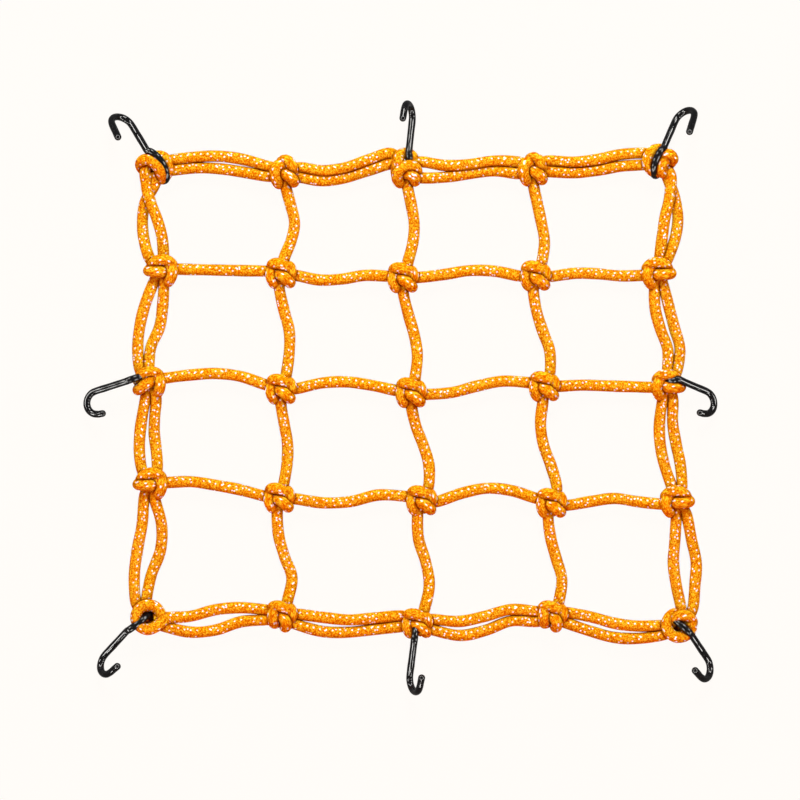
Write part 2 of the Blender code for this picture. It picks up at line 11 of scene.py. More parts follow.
import bpy
import numpy as np
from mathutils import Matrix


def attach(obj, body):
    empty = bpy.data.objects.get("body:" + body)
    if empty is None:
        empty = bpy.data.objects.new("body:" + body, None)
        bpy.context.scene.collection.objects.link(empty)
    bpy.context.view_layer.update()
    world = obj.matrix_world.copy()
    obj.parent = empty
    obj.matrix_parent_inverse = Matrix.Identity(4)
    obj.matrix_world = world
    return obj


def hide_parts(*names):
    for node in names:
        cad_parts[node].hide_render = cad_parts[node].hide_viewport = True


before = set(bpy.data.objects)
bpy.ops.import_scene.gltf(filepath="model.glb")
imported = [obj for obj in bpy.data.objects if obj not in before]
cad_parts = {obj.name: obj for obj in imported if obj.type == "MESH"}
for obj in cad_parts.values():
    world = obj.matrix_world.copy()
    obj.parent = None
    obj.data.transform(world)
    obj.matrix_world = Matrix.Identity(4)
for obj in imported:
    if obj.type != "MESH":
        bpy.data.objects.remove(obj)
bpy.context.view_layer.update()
print("packed nodes:", sorted(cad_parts))

# %% [markdown]
# ## Camera
# A flat thing like this is photographed from far above, so that no knot leans away from the lens.
# A long lens high over the middle does the same and keeps the camera a perspective one. Its
# height follows from the width that it has to see: width times focal length over sensor width.

# %% Camera
MM = 0.001
VIEW_WIDTH = 452.8 * MM
VIEW_MIDDLE = (-0.28 * MM, -1.25 * MM, 7.0 * MM)
LENS = 200.0
SENSOR = 36.0


def add_object(name, data):
    """Put a data block in the scene as an object at the origin."""
    made = bpy.data.objects.new(name, data)
    bpy.context.scene.collection.objects.link(made)
    return made


lens = bpy.data.cameras.new("camera")
lens.lens = LENS
lens.sensor_width = SENSOR
camera = add_object("camera", lens)
height = VIEW_WIDTH * LENS / SENSOR
camera.location = (VIEW_MIDDLE[0], VIEW_MIDDLE[1], VIEW_MIDDLE[2] + height)
bpy.context.scene.camera = camera
bpy.context.scene.view_settings.view_transform = "Standard"
print("camera height:", round(height, 3), "m")

# %% [markdown]
# ## Shader sums as Python
# Materials are graphs of nodes, and sums on them are hard to read when each one is a node placed
# by hand. Here a small class stands for one output of a node, and its + - * % ** < > add Math
# nodes, so that a pattern can be written as the formula that it is. Its graph makes all others.

# %% Shader sums


class Field:
    """A number that varies over a surface: one node's output. Sums on it add Math nodes."""

    def __init__(self, graph, socket):
        self.graph = graph
        self.socket = socket

    def math(self, operation, *others):
        """This value and others through one Math node."""
        return self.graph.sum_of(operation, self, *others)

    def __add__(self, other):
        return self.math("ADD", other)

    def __sub__(self, other):
        return self.math("SUBTRACT", other)

    def __mul__(self, other):
        return self.math("MULTIPLY", other)

    def __rsub__(self, other):
        return self.graph.sum_of("SUBTRACT", other, self)

    def __mod__(self, other):
        return self.math("FLOORED_MODULO", other)

    def __pow__(self, other):
        return self.math("POWER", other)

    def __lt__(self, other):
        return self.math("LESS_THAN", other)

    def __gt__(self, other):
        return self.math("GREATER_THAN", other)

    __radd__ = __add__
    __rmul__ = __mul__


class Graph:
    """The node graph of one material."""

    def __init__(self, owner):
        owner.use_nodes = True
        self.owner = owner
        self.tree = owner.node_tree
        self.shader = self.tree.nodes["Principled BSDF"]

    def feed(self, node, inputs):
        """Give a node's sockets their numbers, colours or links."""
        for key, value in inputs.items():
            if isinstance(value, Field):
                self.tree.links.new(value.socket, node.inputs[key])
            else:
                node.inputs[key].default_value = value

    def node(self, kind, settings, inputs, output=0):
        """Add a node: its settings first, then its sockets. Returns one output."""
        made = self.tree.nodes.new(kind)
        for key, value in settings.items():
            setattr(made, key, value)
        self.feed(made, inputs)
        return Field(self, made.outputs[output])

    def sum_of(self, operation, *values):
        """A Math node on numbers and fields."""
        return self.node("ShaderNodeMath", {"operation": operation}, dict(enumerate(values)))

    def blend(self, share, low, high):
        """A colour between two others: low where share is 0, high where it is 1."""
        return self.node(
            "ShaderNodeMix", {"data_type": "RGBA"}, {0: share, 6: low, 7: high}, output=2
        )


print("shader sums ready")

# %% [markdown]
# ## Light
# The photograph is bright and nearly without shadows, but the upper side of each cord is lighter
# than its lower side, which is a deeper orange. So one soft box stands beyond the top edge of the
# picture, a wide one hangs overhead, and orange ones low on the other three sides stand for the
# light that the cords throw on each other. The black hooks show long white streaks whichever way
# they point: a ring of small lamps does that, which only shows in gloss and leaves the cords alone.

# %% Light
WARM_WHITE = (1.0, 0.985, 0.955)
ORANGE_BOUNCE = (1.0, 0.10, 0.0)
SKY_GLOW = 0.34
# name, place and side in metres, watts, colour
SOFT_BOXES = [
    ("top_edge_box", (0.06, 1.35, 1.25), 0.6, 62.0, WARM_WHITE),
    ("overhead_box", (0.0, 0.3, 2.3), 1.2, 14.0, WARM_WHITE),
    ("bounce_box_front", (0.0, -1.5, 0.6), 1.0, 22.0, ORANGE_BOUNCE),
    ("bounce_box_left", (-1.5, 0.0, 0.6), 1.0, 13.0, ORANGE_BOUNCE),
    ("bounce_box_right", (1.5, 0.0, 0.6), 1.0, 11.0, ORANGE_BOUNCE),
]
STREAK_LAMPS = 10
STREAK_RING = 1.4
STREAK_HEIGHT = 0.8
STREAK_SIZE = 0.32
STREAK_WATTS = 15.0


def add_soft_box(name, place, size, watts, color, matt=True, gloss=True):
    """A square lamp that shines from its place to the middle of the net, in matt or in gloss."""
    lamp = bpy.data.lights.new(name, "AREA")
    lamp.size = size
    lamp.energy = watts
    lamp.color = color
    box = add_object(name, lamp)
    box.location = place
    box.rotation_euler = (-box.location).to_track_quat("-Z", "Y").to_euler()
    box.visible_camera = False
    box.visible_diffuse = matt
    box.visible_glossy = gloss


for name, place, size, watts, color in SOFT_BOXES:
    add_soft_box(name, place, size, watts, color, gloss=False)
for number in range(STREAK_LAMPS):
    turn = 2 * pi * (number + 0.5) / STREAK_LAMPS
    place = (STREAK_RING * cos(turn), STREAK_RING * sin(turn), STREAK_HEIGHT)
    add_soft_box(f"streak_box_{number}", place, STREAK_SIZE, STREAK_WATTS, WARM_WHITE, matt=False)
sky = bpy.data.worlds.new("studio_sky")
sky.use_nodes = True
sky.node_tree.nodes["Background"].inputs["Color"].default_value = (*WARM_WHITE, 1.0)
sky.node_tree.nodes["Background"].inputs["Strength"].default_value = SKY_GLOW
bpy.context.scene.world = sky

# %% [markdown]
# ## The floor
# The background of the picture is an even, warm white. A large sheet that glows like a light table
# does that and hides nearly all of the shadows. Its own light is kept off the net, whose lower
# sides would turn pale with it.

# %% Floor
FLOOR_SIZE = 8.0
FLOOR_WHITE = (1.0, 0.975, 0.94, 1.0)
FLOOR_SHARE = 0.01
FLOOR_GLOW = 0.985


def build_floor():
    """A square sheet at the height of the surface that the net lies on."""
    half = FLOOR_SIZE / 2
    corners = [(-half, -half, 0.0), (half, -half, 0.0), (half, half, 0.0), (-half, half, 0.0)]
    sheet = bpy.data.meshes.new("floor")
    sheet.from_pydata(corners, [], [(0, 1, 2, 3)])
    paper = Graph(bpy.data.materials.new("warm_white_paper"))
    paper.feed(paper.shader, {
        "Base Color": (*(FLOOR_SHARE * part for part in FLOOR_WHITE[:3]), 1.0),
        "Roughness": 0.9,
        "Specular IOR Level": 0.0,
        "Emission Color": FLOOR_WHITE,
        "Emission Strength": FLOOR_GLOW,
    })
    sheet.materials.append(paper.owner)
    floor = add_object("floor", sheet)
    floor.visible_diffuse = False
    floor.visible_glossy = False
    return floor


build_floor()
print("floor:", FLOOR_SIZE, "m square")

# %% [markdown]
# ## Sizes and routes
# All cords are 6.5 mm thick and all hooks are bent from 4 mm wire. The tables give the middle line
# of each cord and wire in millimetres, as the solids have them, with x to the right, y to the top
# edge of the picture and z up from the surface. The knots come first, as everything starts there.

# %% Knots
CORD_RADIUS = 3.25
WIRE_RADIUS = 2.0
# name: x, y, turn in degrees, form of the knot
KNOTS = {
    "a1": (-140.0, 130.5, 0.0, "corner_top_left"),
    "a2": (-65.5, 128.0, 0.0, "top_edge"),
    "a3": (3.0, 129.5, 0.0, "top_loop"),
    "a4": (75.0, 129.5, 0.0, "top_edge"),
    "a5": (146.5, 134.0, 0.0, "corner_top_right"),
    "b1": (-135.5, 72.0, 0.0, "left_edge"),
    "b2": (-67.5, 70.5, 0.0, "cross"),
    "b3": (1.5, 68.0, 0.0, "cross"),
    "b4": (76.5, 69.0, 0.0, "cross"),
    "b5": (146.0, 70.5, 0.0, "right_edge"),
    "c1": (-142.5, 8.5, 10.0, "left_edge_slanted"),
    "c2": (-67.5, 5.0, 0.0, "cross"),
    "c3": (6.0, 3.0, 0.0, "cross"),
    "c4": (81.5, 6.5, 0.0, "cross"),
    "c5": (151.5, 7.0, -6.0, "right_edge"),
    "d1": (-141.5, -48.5, 3.0, "left_edge"),
    "d2": (-68.5, -56.5, 0.0, "cross"),
    "d3": (12.0, -58.0, 0.0, "cross"),
    "d4": (85.5, -59.5, 0.0, "cross"),
    "d5": (156.5, -58.5, 0.0, "right_edge"),
    "e1": (-142.5, -124.0, 0.0, "corner_bottom_left"),
    "e2": (-67.0, -123.0, 0.0, "bottom_edge"),
    "e3": (9.5, -127.5, 0.0, "cross"),
    "e4": (86.0, -123.0, 0.0, "bottom_edge"),
    "e5": (157.5, -128.5, 0.0, "corner_bottom_right"),
}
print("knots:", len(KNOTS))

# %% [markdown]
# ## Strands
# A strand is the stretch of cord between two knots. Each bows a little to one side, because the
# net is laid down slack. Its line gives the two knots, the sideways offset at five places on the
# way and how much higher than usual its middle lies, so that a pair of cords rests on each other.

# %% Strands
KNOT_PORT_HEIGHT = 7.0
SPAN_MID_HEIGHT = 5.6
PORT_REACH = 9.0
BURIED_REACH = 3.0
BURIED_OFFSET_SHARE = 0.5
# from, to, then the offset on leaving, at a quarter, half and three quarters, on arriving, lift
STRANDS = [
    # single cords down the net
    ("a2", "b2", 1.0, 4.0, 6.5, 5.0, 1.5, 0.0),
    ("a3", "b3", 1.0, 3.5, 5.5, 5.0, 2.5, 0.0),
    ("a4", "b4", 0.0, 2.0, 4.0, 5.5, 4.0, 0.0),
    ("b2", "c2", -1.0, 1.5, 4.5, 4.5, 3.0, 0.0),
    ("b3", "c3", -0.5, 1.5, 4.0, 5.0, 3.0, 0.0),
    ("b4", "c4", -2.0, -1.0, 1.5, 4.5, 4.0, 0.0),
    ("c2", "d2", 0.0, 2.0, 4.0, 4.0, 2.5, 0.0),
    ("c3", "d3", -0.5, 1.0, 4.0, 6.0, 5.0, 0.0),
    ("c4", "d4", -1.5, -3.5, -2.5, 1.0, 3.5, 0.0),
    ("d2", "e2", -1.5, -1.0, 2.0, 6.0, 3.5, 0.0),
    ("d3", "e3", -2.0, -1.0, 3.5, 6.0, 4.0, 0.0),
    ("d4", "e4", -2.0, -0.5, 2.5, 5.5, 4.0, 0.0),
    # single cords across the net
    ("b1", "b2", 1.0, 1.0, 1.0, 1.0, 1.0, 0.0),
    ("b2", "b3", -1.0, -3.0, -2.0, 0.5, 0.5, 0.0),
    ("b3", "b4", 0.0, 1.5, 3.5, 3.0, 0.0, 0.0),
    ("b4", "b5", -0.5, 1.0, 0.5, -1.0, -1.0, 0.0),
    ("c1", "c2", 3.0, 5.5, 7.0, 6.0, 2.0, 0.0),
    ("c2", "c3", 0.5, 4.0, 5.0, 3.5, 1.0, 0.0),
    ("c3", "c4", -1.5, -1.0, 2.0, 4.0, 2.5, 0.0),
    ("c4", "c5", 0.0, 0.5, 0.0, -0.5, -1.0, 0.0),
    ("d1", "d2", 1.5, 3.5, 3.0, 2.0, 0.0, 0.0),
    ("d2", "d3", -0.5, -2.5, -1.5, 2.5, 2.0, 0.0),
    ("d3", "d4", -0.5, 4.5, 7.5, 6.5, 2.5, 0.0),
    ("d4", "d5", -1.5, 0.5, 2.0, 0.0, -1.5, 0.0),
    # two cords side by side along the top edge
    ("a1", "a2", 4.0, 6.5, 7.5, 6.0, 2.5, 0.8),
    ("a1", "a2", -1.5, 0.5, 0.5, -1.0, -3.0, -0.6),
    ("a2", "a3", 2.0, 0.0, 1.5, 5.5, 9.0, 0.8),
    ("a2", "a3", -3.5, -5.5, -4.0, -0.5, 3.0, -0.6),
    ("a3", "a4", 4.0, 2.0, 2.5, 4.5, 4.0, 0.8),
    ("a3", "a4", -5.0, -4.5, -2.5, -1.0, -2.5, -0.6),
    ("a4", "a5", 4.0, 2.5, 3.0, 5.0, 5.0, 0.8),
    ("a4", "a5", -2.0, -3.5, -3.0, -1.5, -1.5, -0.6),
    # two cords side by side down the left edge
    ("a1", "b1", -4.5, -3.0, 0.0, 2.0, 2.0, 3.6),
    ("a1", "b1", 0.5, -6.0, -8.5, -8.5, -6.5, -2.0),
    ("b1", "c1", -4.0, -7.0, -8.5, -8.5, -6.5, 0.8),
    ("b1", "c1", 2.5, 3.0, 2.5, -1.0, -1.0, -0.6),
    ("c1", "d1", -2.0, -4.0, -5.5, -6.0, -5.0, 0.8),
    ("c1", "d1", 4.0, 3.0, 2.5, 3.5, 4.0, -0.6),
    ("d1", "e1", -3.5, -4.5, -7.0, -8.5, -7.5, 0.8),
    ("d1", "e1", 2.5, 6.5, 6.0, 1.0, -1.5, -0.6),
    # two cords side by side down the right edge
    ("a5", "b5", 6.6, 5.9, 3.4, 1.9, 0.6, 3.2),
    ("a5", "b5", 4.6, 8.8, 10.9, 9.5, 5.4, -1.6),
    ("b5", "c5", -3.0, -3.5, -1.5, 1.5, 0.5, 0.8),
    ("b5", "c5", 2.5, 4.5, 6.5, 8.5, 6.0, -0.6),
    ("c5", "d5", -4.0, -6.5, -7.0, -5.5, -2.5, 0.8),
    ("c5", "d5", 2.0, 1.0, 2.0, 3.5, 3.5, -0.6),
    ("d5", "e5", -0.5, -1.5, -2.5, -1.0, 1.5, 0.8),
    ("d5", "e5", 5.5, 8.0, 10.5, 9.5, 8.0, -0.6),
    # two cords side by side along the bottom edge
    ("e1", "e2", -0.5, 0.0, 3.5, 4.5, 3.0, 0.8),
    ("e1", "e2", -5.5, -9.0, -8.0, -3.5, -2.5, -0.6),
    ("e2", "e3", 1.0, 0.0, -0.5, 1.5, 3.5, 0.8),
    ("e2", "e3", -5.0, -8.0, -7.5, -5.0, -2.5, -0.6),
    ("e3", "e4", 1.5, -0.5, 1.5, 4.5, 2.5, 0.8),
    ("e3", "e4", -4.5, -8.5, -6.5, -2.0, -3.0, -0.6),
    ("e4", "e5", 2.0, 0.5, -2.0, -2.5, -1.0, 0.8),
    ("e4", "e5", -4.0, -7.5, -10.0, -9.5, -6.5, -0.6),
]
print("strands:", len(STRANDS))

# %% [markdown]
# ## Turns of the knots
# Tied cord shows as short fat lobes that fold over each other. Most knots share one pattern: a cap
# over the top, a bar slanting under it and an arm round each side. Rim and corner knots differ, so
# they have turns of their own. Each turn is a list of places seen from the knot's middle.

# %% Turns of an inner knot
BAR = [
    (-3.4, 0.0, 6.5), (-1.2, -0.8, 10.8), (1.6, -2.2, 12.5), (4.0, -4.2, 11.4),
    (5.0, -5.2, 7.6), (3.8, -4.0, 4.0), (1.0, -1.0, 2.6), (-2.6, 1.8, 2.6),
]
CAP = [
    (5.4, 0.8, 6.5), (3.4, 2.8, 10.6), (1.2, 4.2, 12.3), (-1.6, 5.4, 12.6), (-4.2, 5.2, 11.0),
    (-5.2, 4.2, 7.6), (-4.0, 3.0, 4.0), (-1.0, 0.8, 2.6), (2.4, -1.6, 2.6),
]
LEFT_ARM = [
    (0.0, 4.4, 5.5), (-2.8, 3.6, 7.6), (-4.9, 2.0, 9.2), (-5.7, -0.8, 10.2), (-5.1, -3.6, 9.8),
    (-3.8, -5.6, 7.6), (-2.4, -4.4, 5.0), (0.0, -0.5, 4.6),
]
RIGHT_ARM = [
    (0.2, -4.8, 6.2), (3.0, -2.8, 7.8), (5.0, -1.2, 9.4), (5.7, 0.8, 10.4), (5.3, 2.7, 9.9),
    (4.2, 3.9, 7.4), (2.6, 2.6, 5.0), (0.0, 0.3, 4.6),
]
print("places of the cap:", len(CAP))

# %% [markdown]
# The knots along the four edges are tied round two cords, which makes them wider. The one in the
# middle of the top edge is a loop that the cord passes through, with a collar in front.

# %% Turns of the edge knots
LOW_BAR = [
    (-2.8, 0.8, 6.5), (-0.6, -0.4, 10.8), (1.8, -2.6, 12.5), (2.4, -5.2, 11.2),
    (1.8, -6.6, 7.6), (1.4, -4.6, 4.0), (0.4, -1.0, 2.6), (-2.6, 1.8, 2.6),
]
SHORT_LEFT_ARM = [
    (0.0, 5.0, 6.5), (-2.4, 4.0, 9.6), (-4.4, 2.4, 11.6), (-5.0, -0.4, 12.2), (-4.8, -2.8, 11.0),
    (-4.4, -4.4, 8.0), (-2.4, -3.6, 5.0), (0.0, -0.5, 4.6),
]
ARCH = [
    (3.6, -2.2, 6.5), (4.5, 0.0, 9.5), (4.0, 2.8, 12.0), (2.8, 5.0, 12.4), (0.6, 6.2, 11.6),
    (-1.5, 5.6, 8.6), (-1.8, 3.4, 5.0), (0.0, 0.4, 4.6),
]
BENT_LEFT_ARM = [
    (0.6, 3.0, 7.0), (-0.8, 3.4, 10.4), (-3.0, 3.6, 12.2), (-5.0, 1.6, 12.4), (-5.4, -1.6, 12.0),
    (-4.8, -4.6, 10.8), (-3.2, -6.8, 7.6), (-2.0, -4.8, 5.0), (0.2, -0.8, 4.6),
]
TOP_BAR = [
    (-1.8, 0.6, 6.5), (0.0, -1.0, 10.8), (2.6, -2.8, 12.5), (4.6, -4.8, 11.2),
    (5.0, -6.0, 7.6), (3.8, -4.4, 4.0), (1.0, -1.0, 2.6), (-3.6, 2.2, 3.4),
]
SIDE_CAP = [
    (5.6, 1.6, 6.5), (4.4, 3.6, 10.2), (2.0, 5.4, 12.2), (-1.6, 6.0, 12.5), (-4.8, 4.8, 11.2),
    (-6.4, 2.6, 7.6), (-4.6, 1.4, 4.0), (-1.0, 0.4, 2.6), (3.0, -0.4, 2.6),
]
SIDE_ARM = [
    (-0.8, 4.0, 6.5), (-3.8, 2.8, 9.6), (-5.9, 1.2, 11.8), (-6.5, -1.6, 12.2), (-5.4, -4.8, 10.8),
    (-3.6, -6.4, 7.6), (-2.2, -4.6, 5.0), (0.0, -0.5, 4.6),
]
SIDE_BAR = [
    (-3.6, 0.2, 6.5), (-1.6, -0.7, 11.0), (1.8, -0.9, 12.6), (5.0, -0.6, 11.8),
    (7.0, 0.0, 7.8), (5.2, 0.6, 4.2), (1.6, 0.6, 2.6), (-2.5, 0.0, 2.6),
]
SLANTED_BAR = [
    (-4.4, 2.6, 6.5), (-2.2, 1.4, 11.2), (1.2, -0.6, 12.8), (4.4, -2.2, 11.8),
    (6.6, -2.8, 7.8), (5.0, -1.6, 4.2), (1.6, 0.2, 2.6), (-2.5, 0.0, 2.6),
]
LOOP_LEFT = [
    (4.6, 3.4, 5.0), (4.0, 6.6, 6.8), (1.2, 8.6, 7.6), (-2.2, 8.4, 8.8), (-4.2, 6.0, 10.6),
    (-3.6, 3.0, 11.6), (-2.2, 0.8, 11.2), (-0.6, -1.4, 8.0),
]
LOOP_COLLAR = [
    (6.2, -2.4, 6.5), (5.7, 0.0, 10.6), (2.8, 1.8, 13.0), (-1.4, 0.6, 13.4), (-4.4, -2.4, 12.6),
    (-4.8, -5.6, 10.8), (-3.0, -7.8, 7.8), (-1.0, -5.4, 4.6),
]
LOOP_BAR = [
    (-2.2, -2.6, 6.5), (0.4, -2.8, 10.6), (3.0, -3.6, 12.2), (5.0, -5.2, 11.2), (5.0, -6.8, 7.8),
    (3.0, -5.2, 4.2), (-0.6, -2.0, 2.6),
]
RIM_COIL = [
    (-5.0, -3.6, 6.0), (-5.4, -0.6, 9.4), (-4.8, 2.6, 10.0), (-5.0, 5.2, 7.0),
]
print("places of the collar:", len(LOOP_COLLAR))

# %% [markdown]
# The corners are coils of cord: arcs that overlap at the top corners, and open rings at the bottom
# ones, through which the hooks hang on to the net.

# %% Turns of the corner knots
FRONT_ARC = [
    (5.4, -6.2, 6.5), (5.0, -4.0, 10.4), (3.4, -0.6, 12.6), (0.6, 2.4, 13.0), (-2.6, 4.2, 12.8),
    (-5.6, 3.6, 11.4), (-7.0, 1.4, 7.8), (-5.6, -1.0, 5.0), (-2.0, -1.0, 2.6),
]
LEFT_TUCK = [
    (-3.2, -12.6, 7.1), (-3.8, -9.2, 7.1), (-4.5, -5.6, 8.0), (-4.5, -2.6, 8.8), (-3.8, 0.2, 8.4),
    (-0.8, 4.0, 5.0),
]
REAR_ARC = [
    (-0.6, 5.6, 4.6), (2.6, 6.2, 7.2), (6.0, 5.4, 8.4), (8.4, 1.8, 8.6), (8.2, -3.0, 8.4),
    (5.4, -6.4, 7.2), (1.6, -5.6, 4.4),
]
CORNER_FILL = [
    (-2.8, -4.6, 3.4), (0.0, -2.6, 3.8), (2.8, -0.6, 3.4),
]
REAR_CURL = [
    (2.4, 6.2, 5.0), (-0.8, 6.6, 8.4), (-4.6, 5.0, 10.4), (-6.8, 1.0, 11.0), (-6.0, -3.4, 10.6),
    (-2.8, -6.2, 8.6), (1.6, -5.8, 5.0),
]
FRONT_CURL = [
    (0.8, 0.6, 8.0), (3.0, 3.0, 11.8), (5.8, 3.2, 12.2), (7.4, 1.0, 9.6), (6.0, -1.4, 5.0),
]
FRONT_FOLD = [
    (4.4, 0.8, 9.0), (2.2, -0.8, 12.0), (0.8, -3.4, 12.2), (1.6, -6.6, 9.6), (2.8, -5.6, 5.0),
]
CROSSING_LOBE = [
    (-4.2, 1.4, 8.0), (-1.4, 4.4, 11.6), (2.4, 5.6, 12.8), (6.0, 4.2, 11.8), (7.4, 1.0, 8.0),
    (5.0, -1.0, 4.6),
]
RING_TURN = [
    (2.0, -5.6, 5.0), (5.6, -4.0, 6.4), (6.9, 0.6, 8.0), (4.4, 5.4, 9.4), (-0.4, 6.9, 10.4),
    (-5.0, 4.8, 11.0), (-6.9, 0.2, 11.4), (-5.2, -4.6, 11.7), (-0.8, -6.9, 11.8),
    (4.0, -5.6, 11.4), (7.4, -3.0, 9.8), (10.6, -1.2, 7.6), (14.5, -0.5, 6.8),
]
OPEN_TURN = [
    (5.0, 1.6, 5.0), (1.0, 6.2, 6.8), (-4.0, 5.6, 9.0), (-6.9, 1.6, 10.4), (-6.2, -3.4, 11.0),
    (-2.2, -6.6, 11.2), (2.8, -6.2, 11.2), (6.4, -2.8, 11.0), (6.4, 2.2, 10.4), (3.6, 5.4, 8.4),
]
LOW_TURN = [
    (6.0, 1.6, 3.4), (2.4, 5.6, 3.4), (-2.4, 5.6, 3.4), (-5.8, 2.0, 3.4), (-5.6, -2.6, 3.4),
    (-1.6, -6.0, 3.4), (3.4, -5.2, 3.4), (6.2, -1.0, 3.4),
]
LOW_FILL = [
    (-3.6, -1.4, 3.0), (0.0, 0.4, 3.4), (3.6, 1.4, 3.0),
]
FORMS = {
    "cross": [BAR, CAP, LEFT_ARM, RIGHT_ARM],
    "bottom_edge": [LOW_BAR, CAP, SHORT_LEFT_ARM, RIGHT_ARM],
    "top_edge": [TOP_BAR, ARCH, BENT_LEFT_ARM],
    "top_loop": [LOOP_LEFT, LOOP_COLLAR, LOOP_BAR, RIM_COIL],
    "right_edge": [SIDE_BAR, SIDE_CAP, SIDE_ARM],
    "left_edge": [SIDE_BAR, SIDE_CAP, SIDE_ARM],
    "corner_top_left": [FRONT_ARC, LEFT_TUCK, REAR_ARC, CORNER_FILL],
    "corner_top_right": [REAR_CURL, FRONT_CURL, FRONT_FOLD],
    "left_edge_slanted": [SLANTED_BAR, SIDE_CAP, SIDE_ARM],
    "corner_bottom_left": [RING_TURN, LOW_TURN, LOW_FILL],
    "corner_bottom_right": [OPEN_TURN, CROSSING_LOBE, LOW_TURN, LOW_FILL],
}
MIRRORED_FORMS = {"left_edge", "left_edge_slanted"}
print("forms of knot:", len(FORMS))

# %% [markdown]
# ## Hooks
# Each hook is one wire: an eye that turns back inside the knot, a straight shank and a J bend that
# stands up from the surface. Its line gives the outermost point of the bend, the way that it
# points and how it is rolled and tipped. Angles are in degrees.

# %% Hooks
SHANK_LENGTH = 20.0
SHANK_PLACES = (6.0, 13.0)
BEND_RADIUS = 6.7
BEND_ANGLE = 172.0
BEND_PLACES = 7
EYE_HALF_WIDTH = 5.7
EYE_FULLNESS = 0.2
EYE_OPENING = 2.2
EYE_CLOSING = 0.4
EYE_PLACES = 12
# name: x, y, heading, side, roll, fall, leg, and the eye's own turn, fall, lean and length
HOOKS = {
    "hook_top_left": (-160.6, 159.2, 122.0, 1, 48.0, 28.0, 12.0, -3.0, 16.0, -50.0, 20.0),
    "hook_top_middle": (5.0, 165.6, 84.0, 1, 68.0, 22.0, 8.2, 4.0, 74.0, -10.0, 11.0),
    "hook_top_right": (163.1, 162.8, 65.5, -1, 51.0, 28.0, 13.0, 10.0, 19.0, 30.0, 16.5),
    "hook_left_middle": (-177.4, -4.6, 197.4, 1, 14.0, 19.0, 4.5, -4.0, 44.0, -8.0, 15.0),
    "hook_right_middle": (177.5, -4.8, -22.4, -1, 22.0, 27.0, 4.5, 38.0, 72.0, 5.0, 12.5),
    "hook_bottom_left": (-169.5, -154.5, 227.0, 1, 47.0, 22.0, 8.0, -8.0, 24.0, 6.0, 17.0),
    "hook_bottom_middle": (7.4, -165.6, 263.0, 1, 62.0, 22.0, 8.0, 0.0, 50.0, 0.0, 15.0),
    "hook_bottom_right": (174.8, -157.3, 304.5, -1, 47.0, 29.0, 8.0, 20.0, 32.0, 12.0, 17.0),
}
print("hooks:", len(HOOKS))

# %% [markdown]
# ## Smooth curves through the places
# A cord has no corners, so its places are joined by a Catmull-Rom curve, which passes through every
# one of them and needs no handles. The curve is then cut into even steps, because the braid on the
# cord must not stretch where the places happen to lie far apart.

# %% Smooth curves
PATH_PARTS = 12


def smooth_path(places, step):
    """Evenly spaced points, about a step apart, on a Catmull-Rom curve through the places."""
    p = np.asarray(places, float)
    padded = np.vstack([2 * p[0] - p[1], p, 2 * p[-1] - p[-2]])
    t = np.linspace(0.0, 1.0, PATH_PARTS, endpoint=False)[:, None]
    runs = []
    for a, b, c, d in zip(padded, padded[1:], padded[2:], padded[3:]):
        runs.append(
            0.5 * (2 * b + (c - a) * t + (2 * a - 5 * b + 4 * c - d) * t**2
                   + (3 * b - a - 3 * c + d) * t**3)
        )
    fine = np.vstack([*runs, p[-1:]])
    length = np.concatenate([[0.0], np.cumsum(np.linalg.norm(np.diff(fine, axis=0), axis=1))])
    count = max(2, round(length[-1] / step)) + 1
    at = np.linspace(0.0, length[-1], count)
    return np.stack([np.interp(at, length, fine[:, k]) for k in range(3)], axis=1)


print("a turn of", len(smooth_path(CAP, 0.6)), "steps")

# %% [markdown]
# ## Routes
# The strands' tables are offsets from a straight line, which a short sum turns into places. A
# strand sags a little between its knots, and its lift raises or lowers the middle of that sag.

# %% Routes of the cords


def strand_path(start, end, leave, quarter, half, three_quarters, arrive, lift):
    """Route of one strand, from inside one knot to inside the next."""
    a = np.array(KNOTS[start][:2])
    b = np.array(KNOTS[end][:2])
    length = np.linalg.norm(b - a)
    along = (b - a) / length
    left = np.array([-along[1], along[0]])
    reach = np.array([BURIED_REACH, *np.linspace(PORT_REACH, length - PORT_REACH, 5),
                      length - BURIED_REACH])
    offset = np.array([leave * BURIED_OFFSET_SHARE, leave, quarter, half, three_quarters, arrive,
                       arrive * BURIED_OFFSET_SHARE])
    plan = a + reach[:, None] * along + offset[:, None] * left
    sag = np.sin(np.clip((reach - PORT_REACH) / (length - 2 * PORT_REACH), 0.0, 1.0) * pi)
    height = KNOT_PORT_HEIGHT + (SPAN_MID_HEIGHT - KNOT_PORT_HEIGHT + lift) * sag
    return np.column_stack([plan, height])


def knot_paths(name):
    """Routes of a knot's lobes in the net's frame."""
    x, y, turn, form = KNOTS[name]
    mirror = -1.0 if form in MIRRORED_FORMS else 1.0
    c = cos(radians(turn))
    s = sin(radians(turn))
    routes = []
    for lobe in FORMS[form]:
        route = np.array(lobe)
        u = route[:, 0] * mirror
        v = route[:, 1]
        routes.append(np.column_stack([x + c * u - s * v, y + s * u + c * v, route[:, 2]]))
    return routes


print("first strand starts at", np.round(strand_path(*STRANDS[0])[0], 1), "mm")

# %% [markdown]
# A hook's route starts at its eye, goes out along the shank and round the J. It is worked out from
# the outermost point of the bend, then raised or lowered until the wire rests on the surface.

# %% Routes of the hooks


